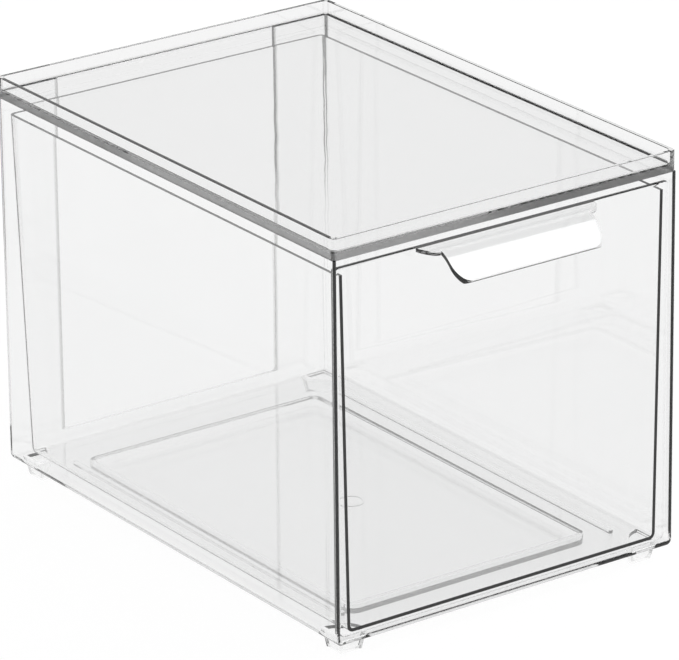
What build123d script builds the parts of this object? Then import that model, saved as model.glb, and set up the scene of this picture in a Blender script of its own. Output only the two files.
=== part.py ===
# Stackable drawer box in clear polystyrene: an open-fronted casing, a stacking
# tray bonded on its top edges, and a one-piece drawer that slides out at the front.
# Millimetres, +Z up. The drawer front faces -Y and the drawer pulls out along -Y.
# The origin is under the middle of the whole object, on the surface its feet rest on.

import os
from math import cos, radians, sin, tan

from build123d import *

# ---------------------------------------------------------------- driving sizes
casing_width = 203.0
casing_depth = 290.0
shell_height = 196.2          # underside of the base to the bonded joint under the tray
casing_wall = 2.0
casing_floor = 2.2
base_edge_radius = 3.0        # rounding of the bottom edges
back_corner_radius = 2.5      # rounding of the upright corners at the back
mouth_edge_radius = 0.8       # softened edges round the open front

notch_width = 133.0           # opening in the back wall, open at its top edge
notch_sill = 8.3              # notch's lower edge above the base
notch_corner_radius = 1.5

pan_width = 140.0             # rectangle sunk into the floor, between the feet
pan_depth = 224.0
pan_drop = 5.0
pan_corner_radius = 3.5
pan_draft = 4.0               # degrees
gate_ring_radius = 7.0         # mark of the moulding gate in the pan
gate_ring_offset = (8.0, -2.5)  # from the middle of the pan
gate_ring_width = 1.2
gate_ring_height = 0.3

rail_spacing = 162.0          # between the middles of the two slide rails
rail_width = 2.6
rail_height = 1.6
rail_back_margin = 34.0       # rail's back end to the back of the casing
rail_front_margin = 23.0      # rail's front end to the mouth of the casing

foot_height = 8.6
foot_radius = 15.0
foot_inset = 6.0              # foot's straight sides to the casing's sides
foot_skin = 1.8
foot_draft = 10.0             # degrees

tray_panel = 3.8
rim_height = 7.0              # above the panel
rim_wall = 2.2
rim_root_radius = 1.2
rim_top_radius = 0.4
tray_corner_radius = 2.5

front_recess = 2.2            # drawer front set back from the mouth of the casing
front_thickness = 2.2
front_side_gap = 1.0          # drawer front to the casing's side walls
front_floor_gap = 0.5         # drawer front to the casing's floor
front_top_gap = 5.0           # drawer front to the tray's underside
front_corner_radius = 3.5
front_top_corner_radius = 1.2
front_edge_radius = 0.9

tub_wall = 1.8
tub_floor = 1.8
tub_ride_gap = 0.2            # tub's underside to the top of the rails
tub_side_gap = 3.5            # tub's top edge to the casing's side walls
tub_back_gap = 1.2            # tub's top edge to the casing's back wall
tub_top_drop = 4.2            # side walls end this far below the front's top edge
tub_side_draft = 0.85         # degrees
tub_back_draft = 1.9          # degrees
tub_corner_radius = 3.6       # outside, along the bottom and up the back

lip_width = 88.0              # pull lip along the top of the drawer front
lip_reach = 23.2              # from the drawer front's outer face
lip_thickness = 2.0
lip_flat = 3.0                # level run before the curve
lip_curve_radius = 18.0       # upper surface
lip_slope = 45.0              # degrees below level at the free edge
lip_corner_radius = 8.0
lip_flare_radius = 8.5        # where its ends run out into the drawer front

# ---------------------------------------------------------------- places worked out
lip_overhang = lip_reach - front_recess
mouth_y = lip_overhang - (casing_depth + lip_overhang) / 2
back_y = mouth_y + casing_depth
middle_y = (mouth_y + back_y) / 2
half_width = casing_width / 2

base_z = foot_height
floor_z = base_z + casing_floor
joint_z = base_z + shell_height
panel_top_z = joint_z + tray_panel
rim_top_z = panel_top_z + rim_height

front_y = mouth_y + front_recess
front_back_y = front_y + front_thickness
front_half_width = half_width - casing_wall - front_side_gap
front_bottom_z = floor_z + front_floor_gap
front_top_z = joint_z - front_top_gap

tub_bottom_z = floor_z + rail_height + tub_ride_gap
tub_top_z = front_top_z - tub_top_drop
tub_half_width = half_width - casing_wall - tub_side_gap
tub_back_y = back_y - casing_wall - tub_back_gap


# ---------------------------------------------------------------- casing body
def quarter_disc(radius, inset=0.0):
    """Quarter disc towards +X and +Y, its outline drawn in from all three sides by inset."""
    reach = radius - inset
    end = (reach**2 - inset**2) ** 0.5
    with BuildSketch() as quarter:
        with BuildLine():
            Line((inset, end), (inset, inset))
            Line((inset, inset), (end, inset))
            RadiusArc((end, inset), (inset, end), -reach)
        make_face()
    return quarter.sketch


def foot_block(skin, top_z, bottom_z):
    """Tapered quarter-round block; skin is how far its surface lies inside the foot's."""
    lower_inset = (base_z - bottom_z) * tan(radians(foot_draft))
    upper_inset = (base_z - top_z) * tan(radians(foot_draft))
    with BuildPart() as block:
        with BuildSketch(Plane.XY.offset(top_z)):
            add(quarter_disc(foot_radius, skin + upper_inset))
        with BuildSketch(Plane.XY.offset(bottom_z)):
            add(quarter_disc(foot_radius, skin + lower_inset))
        loft(ruled=True)
    return block.part


foot_corner_x = half_width - foot_inset
foot_corner_y = casing_depth / 2 - foot_inset
foot_places = [
    Location((-foot_corner_x, middle_y - foot_corner_y, 0), (0, 0, 0)),
    Location((foot_corner_x, middle_y - foot_corner_y, 0), (0, 0, 90)),
    Location((foot_corner_x, middle_y + foot_corner_y, 0), (0, 0, 180)),
    Location((-foot_corner_x, middle_y + foot_corner_y, 0), (0, 0, 270)),
]
foot_outside = foot_block(0.0, base_z, 0.0)
foot_inside = foot_block(foot_skin, floor_z, foot_skin)

with BuildPart() as casing_body:
    # outer block, rounded at the back uprights and round the base but for the mouth
    with BuildSketch(Plane.XY.offset(base_z)):
        with Locations((0, middle_y)):
            Rectangle(casing_width, casing_depth)
    extrude(amount=shell_height)
    back_uprights = casing_body.edges().filter_by(Axis.Z).group_by(Axis.Y)[-1]
    fillet(back_uprights, back_corner_radius)
    base_outline = casing_body.faces().sort_by(Axis.Z)[0].edges().sort_by(Axis.Y)
    fillet(base_outline[1:], base_edge_radius)

    # hollow, open at the mouth and along the top
    with BuildSketch(Plane.XZ.offset(-mouth_y)) as casing_hollow:
        with Locations((0, floor_z)):
            Rectangle(casing_width - 2 * casing_wall, shell_height, align=(Align.CENTER, Align.MIN))
        fillet(casing_hollow.vertices().group_by(Axis.Y)[0], base_edge_radius - casing_wall)
    extrude(amount=casing_wall - casing_depth, mode=Mode.SUBTRACT)

    # notch in the back wall, open upwards until the tray closes it
    with BuildSketch(Plane.XZ.offset(casing_wall - back_y)) as back_notch:
        with Locations((0, base_z + notch_sill)):
            Rectangle(notch_width, shell_height, align=(Align.CENTER, Align.MIN))
        fillet(back_notch.vertices().group_by(Axis.Y)[0], notch_corner_radius)
    extrude(amount=-casing_wall, mode=Mode.SUBTRACT)

    # softened mouth
    mouth_face = casing_body.faces().sort_by(Axis.Y)[0]
    fillet(mouth_face.edges().sort_by(Axis.Z)[:-2], mouth_edge_radius)

    # sunken pan: the floor sheet steps down and keeps its thickness
    with BuildSketch(Plane.XY.offset(base_z)):
        with Locations((0, middle_y)):
            RectangleRounded(pan_width + 2 * casing_floor, pan_depth + 2 * casing_floor,
                             pan_corner_radius + casing_floor)
    extrude(amount=-pan_drop, taper=pan_draft)
    with BuildSketch(Plane.XY.offset(floor_z)):
        with Locations((0, middle_y)):
            RectangleRounded(pan_width, pan_depth, pan_corner_radius)
    extrude(amount=-pan_drop, taper=pan_draft, mode=Mode.SUBTRACT)
    with BuildSketch(Plane.XY.offset(floor_z - pan_drop)):
        with Locations((gate_ring_offset[0], middle_y + gate_ring_offset[1])):
            Circle(gate_ring_radius)
            Circle(gate_ring_radius - gate_ring_width, mode=Mode.SUBTRACT)
    extrude(amount=gate_ring_height)

    # two low rails that carry the drawer
    rail_length = casing_depth - rail_back_margin - rail_front_margin
    rail_middle_y = middle_y + (rail_front_margin - rail_back_margin) / 2
    with BuildSketch(Plane.XY.offset(floor_z)):
        with Locations((-rail_spacing / 2, rail_middle_y), (rail_spacing / 2, rail_middle_y)):
            SlotOverall(rail_length, rail_width, rotation=90)
    extrude(amount=rail_height)

    # hollow quarter-round feet, open upwards into the casing
    with Locations(*foot_places):
        add(foot_outside)
    with Locations(*foot_places):
        add(foot_inside, mode=Mode.SUBTRACT)

casing_body.part.label = "casing_body"


# ---------------------------------------------------------------- stacking tray
with BuildPart() as top_tray:
    with BuildSketch(Plane.XY.offset(joint_z)):
        with Locations((0, middle_y)):
            RectangleRounded(casing_width, casing_depth, tray_corner_radius)
    extrude(amount=tray_panel + rim_height)
    with BuildSketch(Plane.XY.offset(panel_top_z)):
        with Locations((0, middle_y)):
            RectangleRounded(casing_width - 2 * rim_wall, casing_depth - 2 * rim_wall,
                             tray_corner_radius)
    extrude(amount=rim_height, mode=Mode.SUBTRACT)
    recess_floor = top_tray.faces().filter_by(Axis.Z).group_by(Axis.Z)[1]
    fillet(recess_floor.edges(), rim_root_radius)
    rim_top = top_tray.faces().filter_by(Axis.Z).group_by(Axis.Z)[-1]
    fillet(rim_top.edges(), rim_top_radius)

top_tray.part.label = "top_tray"


# ---------------------------------------------------------------- drawer
def tub_block(skin, floor_skin, corner_radius):
    """Drafted block behind the drawer front; skin and floor_skin set it inside the tub's outside."""
    height = tub_top_z - tub_bottom_z
    side_lean = height * tan(radians(tub_side_draft))
    back_lean = height * tan(radians(tub_back_draft))
    with BuildPart() as block:
        for z, side, back in [
            (tub_bottom_z + floor_skin, side_lean, back_lean),
            (tub_top_z, 0.0, 0.0),
        ]:
            width = 2 * (tub_half_width - side - skin)
            depth = tub_back_y - back - skin - front_back_y
            with BuildSketch(Plane.XY.offset(z)):
                with Locations((0, front_back_y)):
                    Rectangle(width, depth, align=(Align.CENTER, Align.MIN))
        loft(ruled=True)
        lower_edges = block.faces().sort_by(Axis.Z)[0].edges()
        back_uprights = block.faces().sort_by(Axis.Y)[-1].edges().sort_by(Axis.X)
        fillet(lower_edges.sort_by(Axis.Y)[1:] + [back_uprights[0], back_uprights[-1]], corner_radius)
    return block.part


tub_outside = tub_block(0.0, 0.0, tub_corner_radius)
tub_inside = tub_block(tub_wall, tub_floor, tub_corner_radius - tub_wall)

# pull lip: a curved sheet, cut to its outline as seen from above
slope_run = lip_reach - lip_flat - lip_curve_radius * sin(radians(lip_slope))
round_end = lip_thickness / 2 * (1 - sin(radians(lip_slope)))
slope_length = (slope_run - round_end) / cos(radians(lip_slope))
curve_centre = (front_y - lip_flat, front_top_z - lip_curve_radius)
lip_half = lip_width / 2
with BuildPart() as pull_lip:
    with BuildSketch(Plane.YZ):
        with BuildLine():
            upper_run = Line((front_back_y, front_top_z), (front_y - lip_flat, front_top_z))
            upper_curve = CenterArc(curve_centre, lip_curve_radius, 90, lip_slope)
            upper_slope = PolarLine(upper_curve @ 1, slope_length, 180 + lip_slope)
            across = PolarLine(upper_slope @ 1, lip_thickness, lip_slope - 90, mode=Mode.PRIVATE)
            TangentArc(upper_slope @ 1, across @ 1, tangent=upper_slope % 1)
            lower_slope = PolarLine(across @ 1, slope_length, lip_slope)
            lower_curve = CenterArc(curve_centre, lip_curve_radius - lip_thickness,
                                    90 + lip_slope, -lip_slope)
            lower_run = Line(lower_curve @ 1, (front_back_y, front_top_z - lip_thickness))
            Line(lower_run @ 1, upper_run @ 0)
        make_face()
    extrude(amount=lip_half + lip_flare_radius, both=True)
    with BuildSketch(Plane.XY.offset(front_top_z)):
        with BuildLine():
            root = Line((lip_half + lip_flare_radius, front_back_y),
                        (lip_half + lip_flare_radius, front_y))
            flare = RadiusArc(root @ 1, (lip_half, front_y - lip_flare_radius), lip_flare_radius)
            side = Line(flare @ 1, (lip_half, front_y - lip_reach + lip_corner_radius))
            corner = RadiusArc(side @ 1, (lip_half - lip_corner_radius, front_y - lip_reach),
                               lip_corner_radius)
            Line(corner @ 1, (0, front_y - lip_reach))
            mirror(about=Plane.YZ)
            Line((-lip_half - lip_flare_radius, front_back_y), root @ 0)
        make_face()
    extrude(amount=-lip_reach, mode=Mode.INTERSECT)

with BuildPart() as drawer:
    # front plate, wider and taller than the tub behind it
    with BuildSketch(Plane.XZ.offset(-front_y)) as front_outline:
        with Locations((0, front_bottom_z)):
            Rectangle(2 * front_half_width, front_top_z - front_bottom_z,
                      align=(Align.CENTER, Align.MIN))
        fillet(front_outline.vertices().group_by(Axis.Y)[0], front_corner_radius)
        fillet(front_outline.vertices().group_by(Axis.Y)[-1], front_top_corner_radius)
    extrude(amount=-front_thickness)
    fillet(drawer.faces().sort_by(Axis.Y)[0].edges(), front_edge_radius)

    add(tub_outside)
    add(tub_inside, mode=Mode.SUBTRACT)
    add(pull_lip.part)

drawer.part.label = "drawer"


# ---------------------------------------------------------------- files
os.makedirs("parts", exist_ok=True)
export_step(casing_body.part, "parts/casing_body.step")
export_step(top_tray.part, "parts/top_tray.step")
export_step(drawer.part, "parts/drawer.step")
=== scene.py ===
"""Studio scene of a stackable drawer box in clear polystyrene.

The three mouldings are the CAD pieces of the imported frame, kept as they are. The script gives
each its finish, stands the box on a pale floor, lights it softly and places the camera. Lengths
are in metres.
"""

import logging
import math
from dataclasses import dataclass, field, replace
from enum import Enum

import bpy
from mathutils import Matrix, Vector


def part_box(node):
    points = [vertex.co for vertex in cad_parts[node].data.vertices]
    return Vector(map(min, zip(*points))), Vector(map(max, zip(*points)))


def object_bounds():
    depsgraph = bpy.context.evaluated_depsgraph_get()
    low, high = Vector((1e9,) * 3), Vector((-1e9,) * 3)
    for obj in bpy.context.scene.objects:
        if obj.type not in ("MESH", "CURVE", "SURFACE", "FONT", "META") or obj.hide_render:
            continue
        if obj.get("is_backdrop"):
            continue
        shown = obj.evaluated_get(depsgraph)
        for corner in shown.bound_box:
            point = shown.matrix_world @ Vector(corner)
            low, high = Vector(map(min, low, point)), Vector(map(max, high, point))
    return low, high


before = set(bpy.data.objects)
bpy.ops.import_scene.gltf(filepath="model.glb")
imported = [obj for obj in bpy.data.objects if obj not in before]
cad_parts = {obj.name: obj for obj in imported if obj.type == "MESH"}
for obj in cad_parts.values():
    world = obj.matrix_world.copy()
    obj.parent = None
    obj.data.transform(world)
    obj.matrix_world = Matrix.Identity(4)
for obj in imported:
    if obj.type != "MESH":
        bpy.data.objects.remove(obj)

LOG = logging.getLogger("drawer_box")
Triple = tuple[float, float, float]
Socket = bpy.types.NodeSocket


class MeltFlow(Enum):
    """Way the melt ran through a mould, which sets how its faint ripple lies."""

    FROM_GATE = "rings round the gate in the floor"
    FRONT_TO_BACK = "streaks along the depth"
    UPWARDS = "streaks up the walls"


class Wiring:
    """Adds nodes to one node tree and joins them."""

    def __init__(self, tree: bpy.types.NodeTree) -> None:
        """Start on an empty tree.

        Args:
            tree: Node tree of a material or of the world, which is cleared first.
        """
        self.tree = tree
        tree.nodes.clear()

    def add(self, kind: str, **inputs: object) -> bpy.types.Node:
        """Add one node and set its sockets.

        Args:
            kind: Blender's type name of the node, without its ShaderNode prefix.
            **inputs: Socket values, each named as its socket with _ for a space.

        Returns:
            The new node.
        """
        node = self.tree.nodes.new("ShaderNode" + kind)
        for name, value in inputs.items():
            node.inputs[name.replace("_", " ")].default_value = value
        return node

    def join(self, source: Socket, target: Socket) -> None:
        """Link an output to an input."""
        self.tree.links.new(source, target)

    def feed(self, value: Socket | float | tuple[float, ...], target: Socket) -> None:
        """Link an output to an input, or set the input where the value is no socket.

        Args:
            value: Socket, number or colour.
            target: Input that takes it.
        """
        if isinstance(value, Socket):
            self.join(value, target)
        else:
            target.default_value = value

    def work_out(
        self, operation: str, first: Socket | float, second: Socket | float = 0.0
    ) -> Socket:
        """Add a Math node on two sockets or numbers.

        Args:
            operation: Blender's name of the operation.
            first: Socket or number.
            second: Socket or number, unused by an operation on one value.

        Returns:
            The node's output.
        """
        node = self.tree.nodes.new("ShaderNodeMath")
        node.operation = operation
        self.feed(first, node.inputs[0])
        self.feed(second, node.inputs[1])
        return node.outputs[0]

    def both(self, first: Socket, second: Socket | float) -> Socket:
        """Multiply two masks, or a mask by a share."""
        return self.work_out("MULTIPLY", first, second)

    def more(self, value: Socket, limit: float) -> Socket:
        """Make the mask that is 1 where a value is over a limit."""
        return self.work_out("GREATER_THAN", value, limit)

    def less(self, value: Socket, limit: float) -> Socket:
        """Make the mask that is 1 where a value is under a limit."""
        return self.work_out("LESS_THAN", value, limit)

    def near(self, value: Socket, middle: float, reach: float) -> Socket:
        """Make the mask that is 1 where a value is less than a reach from a middle."""
        off = self.work_out("SUBTRACT", value, middle)
        return self.less(self.work_out("ABSOLUTE", off), reach)

    def axes(self, place: Socket) -> tuple[Socket, Socket, Socket]:
        """Split a vector.

        Args:
            place: Vector.

        Returns:
            Its X, Y and Z.
        """
        parts = self.add("SeparateXYZ")
        self.join(place, parts.inputs["Vector"])
        return parts.outputs["X"], parts.outputs["Y"], parts.outputs["Z"]

    def ramp(self, value: Socket, **ends: float) -> Socket:
        """Map a value from one range to another.

        Args:
            value: Value to map.
            **ends: Ends of the two ranges, named as on the Map Range node.

        Returns:
            Mapped value, held at the ends.
        """
        node = self.add("MapRange", **ends)
        self.join(value, node.inputs["Value"])
        return node.outputs["Result"]

    def mix(self, share: Socket, first: Socket | Triple, second: Triple) -> Socket:
        """Mix two colours.

        Args:
            share: Value from 0, the first colour, to 1, the second.
            first: Colour, or the socket that gives it.
            second: Colour.

        Returns:
            Mixed colour.
        """
        node = self.tree.nodes.new("ShaderNodeMix")
        node.data_type = "RGBA"
        ends = {socket.identifier: socket for socket in node.inputs}
        self.feed(first if isinstance(first, Socket) else (*first, 1.0), ends["A_Color"])
        self.feed((*second, 1.0), ends["B_Color"])
        self.join(share, ends["Factor_Float"])
        return next(s for s in node.outputs if s.identifier == "Result_Color")


@dataclass(frozen=True)
class PaintedShadeEdges:
    """Painted shade: a dark tint on edges of the casing's back wall, which the plastic itself
    doesn't have.

    It is painted shade standing for a studio that is dark at its sides: the photograph has dark
    lines on these edges, where the even studio of this scene would show its bright floor.
    """

    corner_x: float                # half width beyond which the rounded corners lie
    corner_y: float                # depth beyond which the rounded corners lie
    notch_x: float                 # half width of the notch
    wall_y: float                  # depth beyond which the wall lies
    sill_z: float                  # height of the notch's sill
    slack: float = 0.0001          # how exactly the notch's right end is met
    strip: float = 0.0006          # half width of the strips beside the notch
    strip_share: float = 0.5       # how dark the painted shade on the strips is
    fades_from: float = 0.13       # height down to which corners and end take the full painted shade
    fades_to: float = 0.095        # height where they have faded to the share below
    faded: float = 0.2
    # dark colour of the painted shade
    painted_shade: Triple = (0.004, 0.004, 0.004)

    def mask(self, wiring: Wiring, place: Socket) -> Socket:
        """Make the mask of the painted shade on the corners, the notch's right end and the strips
        beside it.

        Args:
            wiring: Tree to add to.
            place: Object coordinates.

        Returns:
            1 on corners and right end, less in their lower part, a share on the strips, and
            0 elsewhere.
        """
        across, deep, height = wiring.axes(place)
        aside = wiring.work_out("ABSOLUTE", across)
        in_wall = wiring.more(deep, self.wall_y)
        corner = wiring.both(wiring.more(aside, self.corner_x), wiring.more(deep, self.corner_y))
        end = wiring.both(wiring.near(across, self.notch_x, self.slack), in_wall)
        strip = wiring.both(wiring.near(aside, self.notch_x + self.strip, self.strip), in_wall)
        fading = wiring.ramp(
            height, From_Min=self.fades_to, From_Max=self.fades_from, To_Min=self.faded
        )
        # full painted shade on corners and right end, part of it on the strips above the sill
        dark = wiring.both(wiring.work_out("MAXIMUM", corner, end), fading)
        pale = wiring.both(strip, wiring.both(wiring.more(height, self.sill_z), self.strip_share))
        return wiring.work_out("MAXIMUM", dark, pale)


@dataclass(frozen=True)
class SatinBand:
    """Level band in which a moulding is satin instead of polished."""

    start: float                   # height where it begins
    stop: float                    # height where it ends
    roughness: float = 0.28
    clear: float = 0.84            # share of the light let through, the rest is scattered

    def mask(self, wiring: Wiring, place: Socket) -> Socket:
        """Make the mask of the band.

        Args:
            wiring: Tree to add to.
            place: Object coordinates.

        Returns:
            1 in the band and 0 elsewhere.
        """
        height = wiring.axes(place)[2]
        return wiring.both(wiring.more(height, self.start), wiring.less(height, self.stop))


@dataclass(frozen=True)
class ClearPolystyrene:
    """Clear, polished, injection-moulded polystyrene."""

    name: str
    flow: MeltFlow
    body_tint: Triple = (0.996, 0.997, 0.997)
    haze_tint: Triple = (0.989, 0.990, 0.990)
    polish: float = 0.004          # roughness where the mould is brightest
    dull: float = 0.015            # roughness where it is duller
    refraction: float = 1.59
    absorption: float = 3.0        # per metre
    ripple_height: float = 0.00002
    ripple_pitch: float = 0.05
    rings: float = 0.32            # wave scale for one ring in each pitch
    streaks: float = 2.0           # noise cells across each pitch
    streak_squeeze: float = 0.15   # scale along the streaks, against 1 across them
    satin: SatinBand | None = None
    # painted shade on edges, where there is any
    painted_edge_shade: PaintedShadeEdges | None = None

    def build(self) -> bpy.types.Material:
        """Build the material.

        Returns:
            Material with its colour, gloss and relief worked out from Object coordinates.
        """
        material = bpy.data.materials.new(self.name)
        material.use_nodes = True
        wiring = Wiring(material.node_tree)
        place = wiring.add("TexCoord").outputs["Object"]
        shader = wiring.add("BsdfPrincipled", IOR=self.refraction, Transmission_Weight=1.0)
        cloud = self._cloud(wiring, place)
        self._tint(wiring, cloud, place, shader)
        self._gloss(wiring, cloud, place, shader)
        self._relief(wiring, place, shader)
        depth = wiring.add("VolumeAbsorption", Color=(0.0, 0.0, 0.0, 1.0), Density=self.absorption)
        output = wiring.add("OutputMaterial")
        wiring.join(shader.outputs["BSDF"], output.inputs["Surface"])
        wiring.join(depth.outputs["Volume"], output.inputs["Volume"])
        return material

    def _cloud(self, wiring: Wiring, place: Socket) -> Socket:
        """Make the soft clouds in which haze and polish vary.

        Args:
            wiring: Tree to add to.
            place: Object coordinates.

        Returns:
            Value from 0 to 1.
        """
        noise = wiring.add("TexNoise", Scale=1.0 / self.ripple_pitch, Detail=1.0)
        wiring.join(place, noise.inputs["Vector"])
        return noise.outputs["Fac"]

    def _tint(
        self, wiring: Wiring, cloud: Socket, place: Socket, shader: bpy.types.Node
    ) -> None:
        """Let the body colour drift between hazy and clear, and add the painted shade on edges.

        Args:
            wiring: Tree to add to.
            cloud: Value from 0 to 1.
            place: Object coordinates.
            shader: Principled shader to colour.
        """
        colour = wiring.mix(cloud, self.haze_tint, self.body_tint)
        if self.painted_edge_shade:
            # painted shade: dark tint on edges of the back wall, mixed into the body colour
            colour = wiring.mix(self.painted_edge_shade.mask(wiring, place), colour, self.painted_edge_shade.painted_shade)
        wiring.join(colour, shader.inputs["Base Color"])

    def _gloss(
        self, wiring: Wiring, cloud: Socket, place: Socket, shader: bpy.types.Node
    ) -> None:
        """Let the polish vary a little, and add the satin band where there is one.

        Args:
            wiring: Tree to add to.
            cloud: Value from 0 to 1.
            place: Object coordinates.
            shader: Principled shader to set.
        """
        roughness = wiring.ramp(cloud, To_Min=self.dull, To_Max=self.polish)
        if self.satin:
            band = self.satin.mask(wiring, place)
            held_back = wiring.both(band, 1.0 - self.satin.clear)
            let_through = wiring.work_out("SUBTRACT", 1.0, held_back)
            wiring.join(let_through, shader.inputs["Transmission Weight"])
            satin = wiring.both(band, self.satin.roughness)
            roughness = wiring.work_out("MAXIMUM", roughness, satin)
        wiring.join(roughness, shader.inputs["Roughness"])

    def _relief(self, wiring: Wiring, place: Socket, shader: bpy.types.Node) -> None:
        """Add the faint ripple left by the melt.

        Args:
            wiring: Tree to add to.
            place: Object coordinates.
            shader: Principled shader whose normal is bent.
        """
        relief = wiring.add("Bump", Strength=1.0, Distance=self.ripple_height)
        wiring.join(self._ripple(wiring, place), relief.inputs["Height"])
        wiring.join(relief.outputs["Normal"], shader.inputs["Normal"])

    def _ripple(self, wiring: Wiring, place: Socket) -> Socket:
        """Make the pattern of the melt's flow.

        Args:
            wiring: Tree to add to.
            place: Object coordinates.

        Returns:
            Height of the pattern, from 0 to 1.
        """
        if self.flow is MeltFlow.FROM_GATE:
            scale = self.rings / self.ripple_pitch
            rings = wiring.add("TexWave", Scale=scale, Distortion=0.0, Detail=0.0)
            rings.wave_type = "RINGS"
            rings.rings_direction = "SPHERICAL"
            wiring.join(place, rings.inputs["Vector"])
            return rings.outputs["Fac"]
        stretch = {
            MeltFlow.FRONT_TO_BACK: (1.0, self.streak_squeeze, 1.0),
            MeltFlow.UPWARDS: (1.0, 1.0, self.streak_squeeze),
        }[self.flow]
        turn = wiring.add("Mapping", Scale=stretch)
        wiring.join(place, turn.inputs["Vector"])
        streaks = wiring.add("TexNoise", Scale=self.streaks / self.ripple_pitch, Detail=0.0)
        wiring.join(turn.outputs["Vector"], streaks.inputs["Vector"])
        return streaks.outputs["Fac"]


@dataclass
class Moulding:
    """One clear moulding, which is a CAD node of the frame and keeps its mesh."""

    node: str
    finish: ClearPolystyrene

    def dress(self) -> None:
        """Give the node its finish."""
        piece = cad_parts[self.node]
        material = self.finish.build()
        if piece.material_slots:
            for holder in piece.material_slots:
                holder.material = material
        else:
            piece.data.materials.append(material)
        low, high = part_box(self.node)
        size = " x ".join(f"{(b - a) * 1000:.1f}" for a, b in zip(low, high))
        LOG.info("%s: %s, %s mm", self.node, self.finish.flow.value, size)


@dataclass
class CasingBody(Moulding):
    """Casing with its floor, sunken pan, rails and feet."""

    node: str = "casing_body"
    finish: ClearPolystyrene = field(
        default_factory=lambda: ClearPolystyrene("casing_clear", MeltFlow.FROM_GATE)
    )
    notch_width: float = 0.133
    notch_sill: float = 0.0169     # above the surface that the feet rest on
    wall: float = 0.002
    corner_radius: float = 0.0025
    margin: float = 0.0002         # from a flat side into a rounded corner, and off the wall

    def dress(self) -> None:
        """Give the casing its finish, with the painted shade on edges of its back wall."""
        low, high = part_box(self.node)
        rounding = self.corner_radius - self.margin
        # painted shade on the back corners, the notch's right end and the strips beside it
        edges = PaintedShadeEdges(
            corner_x=high.x - rounding,
            corner_y=high.y - rounding,
            notch_x=self.notch_width / 2,
            wall_y=high.y - self.wall - self.margin,
            sill_z=low.z + self.notch_sill,
        )
        self.finish = replace(self.finish, painted_edge_shade=edges)
        super().dress()


@dataclass
class StackingTray(Moulding):
    """Panel and rim that close the casing at the top."""

    node: str = "top_tray"
    finish: ClearPolystyrene = field(
        default_factory=lambda: ClearPolystyrene(
            "tray_clear", MeltFlow.FRONT_TO_BACK, ripple_height=0.00006, ripple_pitch=0.04
        )
    )
    panel: float = 0.0038
    margin: float = 0.0001         # polished line along both edges of the band

    def dress(self) -> None:
        """Give the tray its finish, with the satin band along the edge of its panel."""
        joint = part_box(self.node)[0].z
        band = SatinBand(joint + self.margin, joint + self.panel - self.margin)
        self.finish = replace(self.finish, satin=band)
        super().dress()


@dataclass
class PullDrawer(Moulding):
    """Tub, front and pull lip of the drawer."""

    node: str = "drawer"
    finish: ClearPolystyrene = field(
        default_factory=lambda: ClearPolystyrene("drawer_clear", MeltFlow.UPWARDS)
    )


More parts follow.
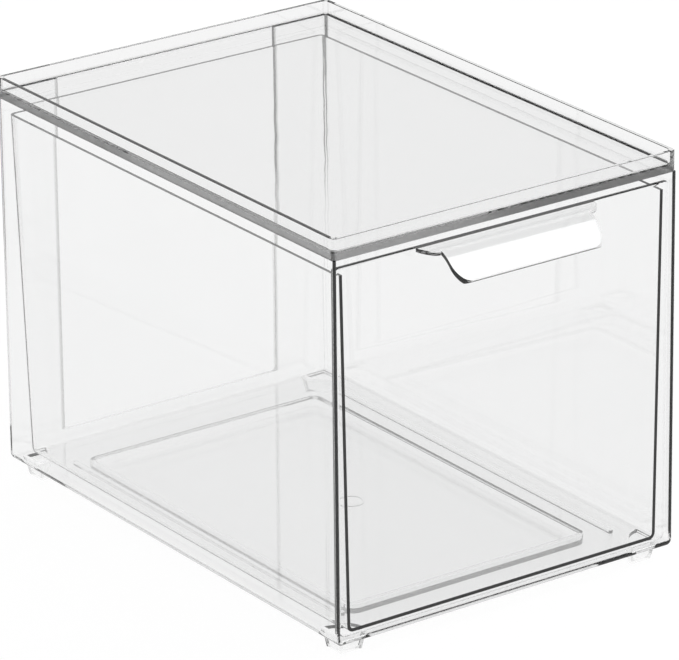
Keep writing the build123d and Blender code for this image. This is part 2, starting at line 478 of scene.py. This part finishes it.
@dataclass
class Studio:
    """Pale floor, surrounding light and one softbox, set so that greys meet the photograph's."""

    floor_reach: float = 30.0
    floor_paint: Triple = (0.8, 0.8, 0.8)
    floor_roughness: float = 0.9
    floor_shade: float = 0.14      # share of the floor that takes shadows
    floor_white: float = 1.12      # glow of the rest, as the camera sees it
    floor_pale: float = 1.04       # glow of the rest, as it shows through and in the plastic
    sky: tuple[tuple[float, float], ...] = (
        (0.0, 0.90),
        (0.36, 0.73),
        (0.46, 0.66),
        (0.56, 0.16),
        (0.85, 0.12),
        (1.0, 0.60),
    )                              # height of a direction, and the light from there
    softbox_from: Triple = (0.54, -0.37, 0.76)
    softbox_distance: float = 1.5
    softbox_side: float = 0.6
    softbox_glow: float = 2.2

    def build(self, middle: Vector) -> None:
        """Build floor, world and softbox.

        Args:
            middle: Middle of the box.
        """
        self._floor()
        self._world()
        self._softbox(middle)
        LOG.info("studio: floor, world and softbox")

    def _floor(self) -> None:
        """Lay the floor at z = 0, which glows by itself and takes only faint shadows."""
        reach = self.floor_reach
        corners = [(-reach, -reach, 0), (reach, -reach, 0), (reach, reach, 0), (-reach, reach, 0)]
        mesh = bpy.data.meshes.new("studio_floor")
        mesh.from_pydata(corners, [], [(0, 1, 2, 3)])
        floor = bpy.data.objects.new("studio_floor", mesh)
        bpy.context.scene.collection.objects.link(floor)
        material = bpy.data.materials.new("studio_floor")
        material.use_nodes = True
        wiring = Wiring(material.node_tree)
        paint = wiring.add(
            "BsdfPrincipled",
            Base_Color=(*self.floor_paint, 1.0),
            Roughness=self.floor_roughness,
            Specular_IOR_Level=0.0,
        )
        ray = wiring.add("LightPath")
        straight = ray.outputs["Is Camera Ray"]
        extra = wiring.both(straight, self.floor_white - self.floor_pale)
        glow = wiring.add("Emission")
        wiring.join(wiring.work_out("ADD", extra, self.floor_pale), glow.inputs["Strength"])
        shiny = wiring.work_out("MAXIMUM", ray.outputs["Is Glossy Ray"], straight)
        shown = wiring.work_out("MAXIMUM", ray.outputs["Is Transmission Ray"], shiny)
        blend = wiring.add("MixShader")
        output = wiring.add("OutputMaterial")
        wiring.join(wiring.both(shown, 1.0 - self.floor_shade), blend.inputs[0])
        wiring.join(paint.outputs["BSDF"], blend.inputs[1])
        wiring.join(glow.outputs["Emission"], blend.inputs[2])
        wiring.join(blend.outputs["Shader"], output.inputs["Surface"])
        material.cycles.emission_sampling = "NONE"
        mesh.materials.append(material)
        floor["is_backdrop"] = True

    def _world(self) -> None:
        """Surround the box with light that is pale at the horizon, dim above and paler overhead.

        The camera sees plain white instead, behind the box.
        """
        world = bpy.data.worlds.new("studio_light")
        world.use_nodes = True
        wiring = Wiring(world.node_tree)
        height = wiring.axes(wiring.add("TexCoord").outputs["Generated"])[2]
        bands = wiring.add("ValToRGB")
        wiring.join(height, bands.inputs["Fac"])
        stops = bands.color_ramp.elements
        while len(stops) < len(self.sky):
            stops.new(0.5)
        for stop, (position, light) in zip(stops, self.sky):
            stop.position = position
            stop.color = (light, light, light, 1.0)
        ray = wiring.add("LightPath")
        around = wiring.add("Background")
        wiring.join(bands.outputs["Color"], around.inputs["Color"])
        backdrop = wiring.add("Background", Color=(1.0, 1.0, 1.0, 1.0), Strength=1.0)
        blend = wiring.add("MixShader")
        output = wiring.add("OutputWorld")
        wiring.join(ray.outputs["Is Camera Ray"], blend.inputs[0])
        wiring.join(around.outputs["Background"], blend.inputs[1])
        wiring.join(backdrop.outputs["Background"], blend.inputs[2])
        wiring.join(blend.outputs["Shader"], output.inputs["Surface"])
        world.cycles.sampling_method = "NONE"
        bpy.context.scene.world = world

    def _softbox(self, middle: Vector) -> None:
        """Hang the softbox that brightens the pull lip.

        Args:
            middle: Point that the softbox faces.
        """
        lamp = bpy.data.lights.new("softbox", "AREA")
        lamp.shape = "SQUARE"
        lamp.size = self.softbox_side
        lamp.energy = self.softbox_glow * math.pi * self.softbox_side**2
        rig = bpy.data.objects.new("softbox", lamp)
        bpy.context.scene.collection.objects.link(rig)
        towards = Vector(self.softbox_from).normalized()
        aim = towards.to_track_quat("Z", "Y").to_matrix().to_4x4()
        rig.matrix_world = Matrix.Translation(middle + towards * self.softbox_distance) @ aim


@dataclass
class ProductCamera:
    """Camera at the photograph's viewing angle, with its slight roll."""

    azimuth: float = -35.34        # degrees
    elevation: float = 21.66
    roll: float = -0.63
    distance: float = 2.841
    lens: float = 302.2            # millimetres
    sensor: float = 36.0
    farthest: float = 100.0
    target: Triple = (0.0045, 0.0105, 0.0996)

    def build(self) -> None:
        """Place the camera and make it the scene's own."""
        around, above, tilt = map(math.radians, (self.azimuth, self.elevation, self.roll))
        back = Vector(
            (
                math.sin(around) * math.cos(above),
                -math.cos(around) * math.cos(above),
                math.sin(above),
            )
        )
        level = Vector((math.cos(around), math.sin(around), 0.0))
        upright = back.cross(level)
        right = level * math.cos(tilt) + upright * math.sin(tilt)
        up = upright * math.cos(tilt) - level * math.sin(tilt)
        lens = bpy.data.cameras.new("product_camera")
        lens.lens = self.lens
        lens.sensor_width = self.sensor
        lens.clip_end = self.farthest
        camera = bpy.data.objects.new("product_camera", lens)
        bpy.context.scene.collection.objects.link(camera)
        pose = Matrix((right, up, back)).transposed().to_4x4()
        pose.translation = Vector(self.target) + back * self.distance
        camera.matrix_world = pose
        bpy.context.scene.camera = camera
        LOG.info("camera: azimuth %.2f, elevation %.2f", self.azimuth, self.elevation)


@dataclass(frozen=True)
class LightPaths:
    """How far light is followed through the stacked clear walls."""

    through: int = 24              # what is still trapped then goes dark, as in the photograph
    soft: int = 3
    straight: int = 16
    calm: float = 4.0              # brightest indirect light in one sample

    def apply(self) -> None:
        """Set the scene's light paths and its plain view."""
        scene = bpy.context.scene
        scene.view_settings.view_transform = "Standard"
        scene.cycles.max_bounces = self.through
        scene.cycles.transmission_bounces = self.through
        scene.cycles.glossy_bounces = self.through
        scene.cycles.transparent_max_bounces = self.straight
        scene.cycles.diffuse_bounces = self.soft
        scene.cycles.sample_clamp_indirect = self.calm


def plain(box: object) -> list[list[float]]:
    """Turn a pair of corners into plain lists of numbers."""
    return [[float(value) for value in corner] for corner in box]


def main() -> None:
    """Build the scene."""
    logging.basicConfig(level=logging.INFO, format="%(name)s: %(message)s")
    cad_box = plain(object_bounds())
    LightPaths().apply()
    for moulding in (CasingBody(), StackingTray(), PullDrawer()):
        moulding.dress()
    low, high = (Vector(corner) for corner in cad_box)
    Studio().build((low + high) / 2)
    ProductCamera().build()


if __name__ == "__main__":
    main()
